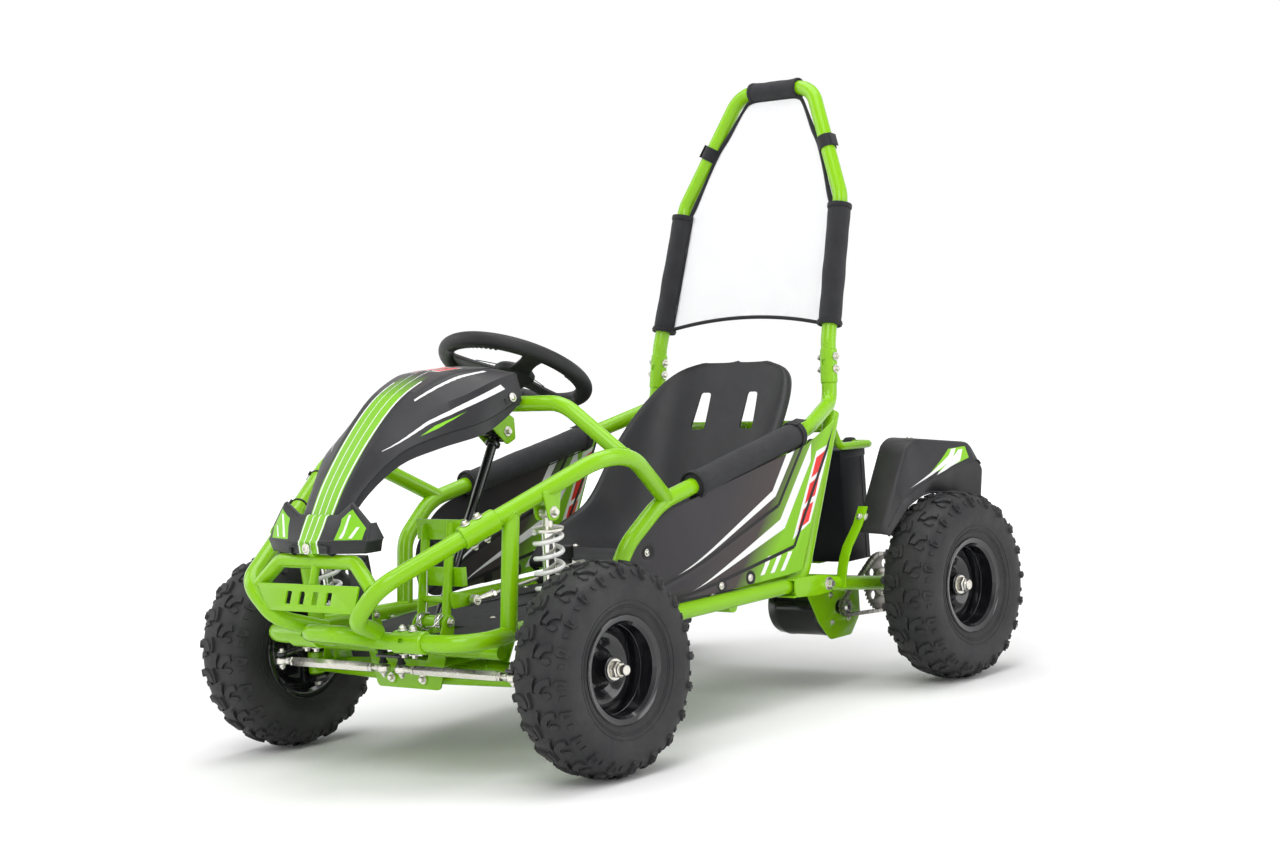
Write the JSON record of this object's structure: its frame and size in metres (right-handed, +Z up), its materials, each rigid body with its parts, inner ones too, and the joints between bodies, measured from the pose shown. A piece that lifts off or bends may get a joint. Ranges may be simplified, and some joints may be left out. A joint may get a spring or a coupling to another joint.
{
  "type": "electric go-kart",
  "caption": "Single-seat electric go-kart: tube frame with roll hoop and net, sprung front arms, swing-arm rear with motor and chain, steering wheel, pedals, seat and knobbly tyres.",
  "frame": {"origin": "on the ground under the middle of the kart's bounding box", "axes": "+Z up, the kart points along -Y, +X is the driver's left"},
  "size_m": [0.846, 1.3384, 1.086],
  "materials": {
    "green_paint": "gloss powder coat",
    "black_paint": "gloss black",
    "black_plastic": "satin moulded",
    "tyre_rubber": "matt rubber",
    "black_foam": "matt foam",
    "zinc": "bright zinc plate",
    "white_paint": "gloss white",
    "floor_plate": "matt grey sheet",
    "net_fabric": "white mesh with black binding"
  },
  "bodies": {
    "chassis": {"side_rail_left": "green_paint", "side_rail_right": "green_paint", "waist_tube_left": "green_paint", "waist_tube_right": "green_paint", "upper_tube_left": "green_paint", "upper_tube_right": "green_paint", "front_frame": "green_paint", "dash_hoop": "green_paint", "floor_frame": "green_paint", "rear_frame": "green_paint", "roll_hoop": "green_paint", "hood": "black_plastic", "side_panel_left": "black_plastic", "side_panel_right": "black_plastic", "side_pad_left": "black_foam", "side_pad_right": "black_foam", "floor_pan": "floor_plate", "seat": "black_plastic", "battery_box": "black_paint", "battery_pack": "black_plastic", "controller": "zinc", "hoop_net": "net_fabric"},
    "steering": {"steering_wheel": "black_foam", "steering_column": "black_paint"},
    "front_arm_left": {"front_arm_left": "green_paint"},
    "knuckle_left": {"knuckle_left": "black_paint"},
    "tie_rod_left": {"tie_rod_left": "zinc"},
    "front_wheel_left": {"front_left_rim": "black_paint", "front_left_tyre": "tyre_rubber"},
    "shock_left": {"shock_body_left": "zinc", "shock_spring_left": "white_paint"},
    "shock_rod_left": {"shock_rod_left": "zinc"},
    "front_arm_right": {"front_arm_right": "green_paint"},
    "knuckle_right": {"knuckle_right": "black_paint"},
    "tie_rod_right": {"tie_rod_right": "zinc"},
    "front_wheel_right": {"front_right_rim": "black_paint", "front_right_tyre": "tyre_rubber"},
    "shock_right": {"shock_body_right": "zinc", "shock_spring_right": "white_paint"},
    "shock_rod_right": {"shock_rod_right": "zinc"},
    "swing_arm": {"swing_arm": "green_paint", "motor": "black_paint", "brake_caliper": "black_paint", "chain": "zinc", "fender_left": "black_plastic", "fender_right": "black_plastic"},
    "axle": {"rear_axle": "zinc", "sprocket": "zinc", "brake_disc": "zinc", "rear_left_rim": "black_paint", "rear_left_tyre": "tyre_rubber", "rear_right_rim": "black_paint", "rear_right_tyre": "tyre_rubber"},
    "pinion": {"motor_pinion": "zinc"},
    "rear_shock": {"rear_shock_body": "zinc", "rear_shock_spring": "black_paint"},
    "rear_shock_rod": {"rear_shock_rod": "zinc"},
    "brake_pedal": {"brake_pedal": "green_paint"},
    "brake_rod": {"brake_rod": "zinc"},
    "throttle_pedal": {"throttle_pedal": "black_plastic"}
  },
  "joints": [
    {"name": "steering_turn", "type": "hinge", "parent": "chassis", "child": "steering", "pos_m": [0, -0.38975, 0.235], "axis": [0, 0.4955, 0.8686], "range_deg": [-25, 25]},
    {"name": "arm_left", "type": "hinge", "parent": "chassis", "child": "front_arm_left", "pos_m": [0.035, -0.40375, 0.143], "axis": [0, -1, 0], "range_deg": [0, 6], "stiffness_Nm_per_rad": 700, "springref_deg": -8.59},
    {"name": "knuckle_left", "type": "hinge", "parent": "front_arm_left", "child": "knuckle_left", "pos_m": [0.29, -0.40375, 0.165], "axis": [0, 0, 1], "range_deg": [-18.5, 18.5]},
    {"name": "tie_rod_left", "type": "hinge", "parent": "knuckle_left", "child": "tie_rod_left", "pos_m": [0.26, -0.50275, 0.163], "axis": [0, 0, 1], "range_deg": [-18.5, 18.5]},
    {"name": "front_wheel_left", "type": "hinge", "parent": "knuckle_left", "child": "front_wheel_left", "pos_m": [0.354, -0.40375, 0.165], "axis": [1, 0, 0], "continuous": true},
    {"name": "shock_turn_left", "type": "hinge", "parent": "chassis", "child": "shock_left", "pos_m": [0.261, -0.40475, 0.4], "axis": [0, -1, 0], "range_deg": [-4, 4]},
    {"name": "shock_slide_left", "type": "slide", "parent": "shock_left", "child": "shock_rod_left", "axis": [0.0673, -0.0449, 0.9967], "range_m": [0, 0.03], "deforming": ["shock_spring_left"]},
    {"name": "arm_right", "type": "hinge", "parent": "chassis", "child": "front_arm_right", "pos_m": [-0.035, -0.40375, 0.143], "axis": [0, 1, 0], "range_deg": [0, 6], "stiffness_Nm_per_rad": 700, "springref_deg": -8.59},
    {"name": "knuckle_right", "type": "hinge", "parent": "front_arm_right", "child": "knuckle_right", "pos_m": [-0.29, -0.40375, 0.165], "axis": [0, 0, 1], "range_deg": [-18.5, 18.5]},
    {"name": "tie_rod_right", "type": "hinge", "parent": "knuckle_right", "child": "tie_rod_right", "pos_m": [-0.26, -0.50275, 0.163], "axis": [0, 0, 1], "range_deg": [-18.5, 18.5]},
    {"name": "front_wheel_right", "type": "hinge", "parent": "knuckle_right", "child": "front_wheel_right", "pos_m": [-0.354, -0.40375, 0.165], "axis": [1, 0, 0], "continuous": true},
    {"name": "shock_turn_right", "type": "hinge", "parent": "chassis", "child": "shock_right", "pos_m": [-0.261, -0.40475, 0.4], "axis": [0, 1, 0], "range_deg": [-4, 4]},
    {"name": "shock_slide_right", "type": "slide", "parent": "shock_right", "child": "shock_rod_right", "axis": [-0.0673, -0.0449, 0.9967], "range_m": [0, 0.03], "deforming": ["shock_spring_right"]},
    {"name": "swing_arm", "type": "hinge", "parent": "chassis", "child": "swing_arm", "pos_m": [0, 0.26025, 0.198], "axis": [1, 0, 0], "range_deg": [0, 4.5], "stiffness_Nm_per_rad": 1500, "springref_deg": -11.46},
    {"name": "axle_spin", "type": "hinge", "parent": "swing_arm", "child": "axle", "pos_m": [0, 0.50425, 0.165], "axis": [1, 0, 0], "continuous": true},
    {"name": "pinion_spin", "type": "hinge", "parent": "swing_arm", "child": "pinion", "pos_m": [0, 0.39525, 0.135], "axis": [1, 0, 0], "continuous": true},
    {"name": "rear_shock_turn", "type": "hinge", "parent": "chassis", "child": "rear_shock", "pos_m": [0, 0.39525, 0.4], "axis": [1, 0, 0], "range_deg": [-4, 4]},
    {"name": "rear_shock_slide", "type": "slide", "parent": "rear_shock", "child": "rear_shock_rod", "axis": [0, 0.2899, 0.9571], "range_m": [0, 0.012], "deforming": ["rear_shock_spring"]},
    {"name": "brake_pedal", "type": "hinge", "parent": "chassis", "child": "brake_pedal", "pos_m": [0.05, -0.45475, 0.232], "axis": [1, 0, 0], "range_deg": [0, 14], "stiffness_Nm_per_rad": 8, "springref_deg": -22.92},
    {"name": "brake_rod", "type": "hinge", "parent": "brake_pedal", "child": "brake_rod", "pos_m": [0.1, -0.41075, 0.261], "axis": [1, 0, 0], "range_deg": [-25, 25]},
    {"name": "throttle_pedal", "type": "hinge", "parent": "chassis", "child": "throttle_pedal", "pos_m": [-0.085, -0.46575, 0.239], "axis": [1, 0, 0], "range_deg": [0, 15], "stiffness_Nm_per_rad": 2, "springref_deg": -22.92}
  ],
  "couplings": [
    {"joint": "knuckle_left", "follows": "steering_turn", "ratio": 0.728},
    {"joint": "tie_rod_left", "follows": "steering_turn", "ratio": -0.728},
    {"joint": "shock_turn_left", "follows": "arm_left", "ratio": -0.27792},
    {"joint": "shock_slide_left", "follows": "arm_left", "m_per_rad": 0.20536},
    {"joint": "knuckle_right", "follows": "steering_turn", "ratio": 0.728},
    {"joint": "tie_rod_right", "follows": "steering_turn", "ratio": -0.728},
    {"joint": "shock_turn_right", "follows": "arm_right", "ratio": -0.27792},
    {"joint": "shock_slide_right", "follows": "arm_right", "m_per_rad": 0.20536},
    {"joint": "pinion_spin", "follows": "axle_spin", "ratio": 3.6364},
    {"joint": "rear_shock_turn", "follows": "swing_arm", "ratio": -0.28899},
    {"joint": "rear_shock_slide", "follows": "swing_arm", "m_per_rad": 0.0687},
    {"joint": "brake_rod", "follows": "brake_pedal", "ratio": -1.2827}
  ]
}
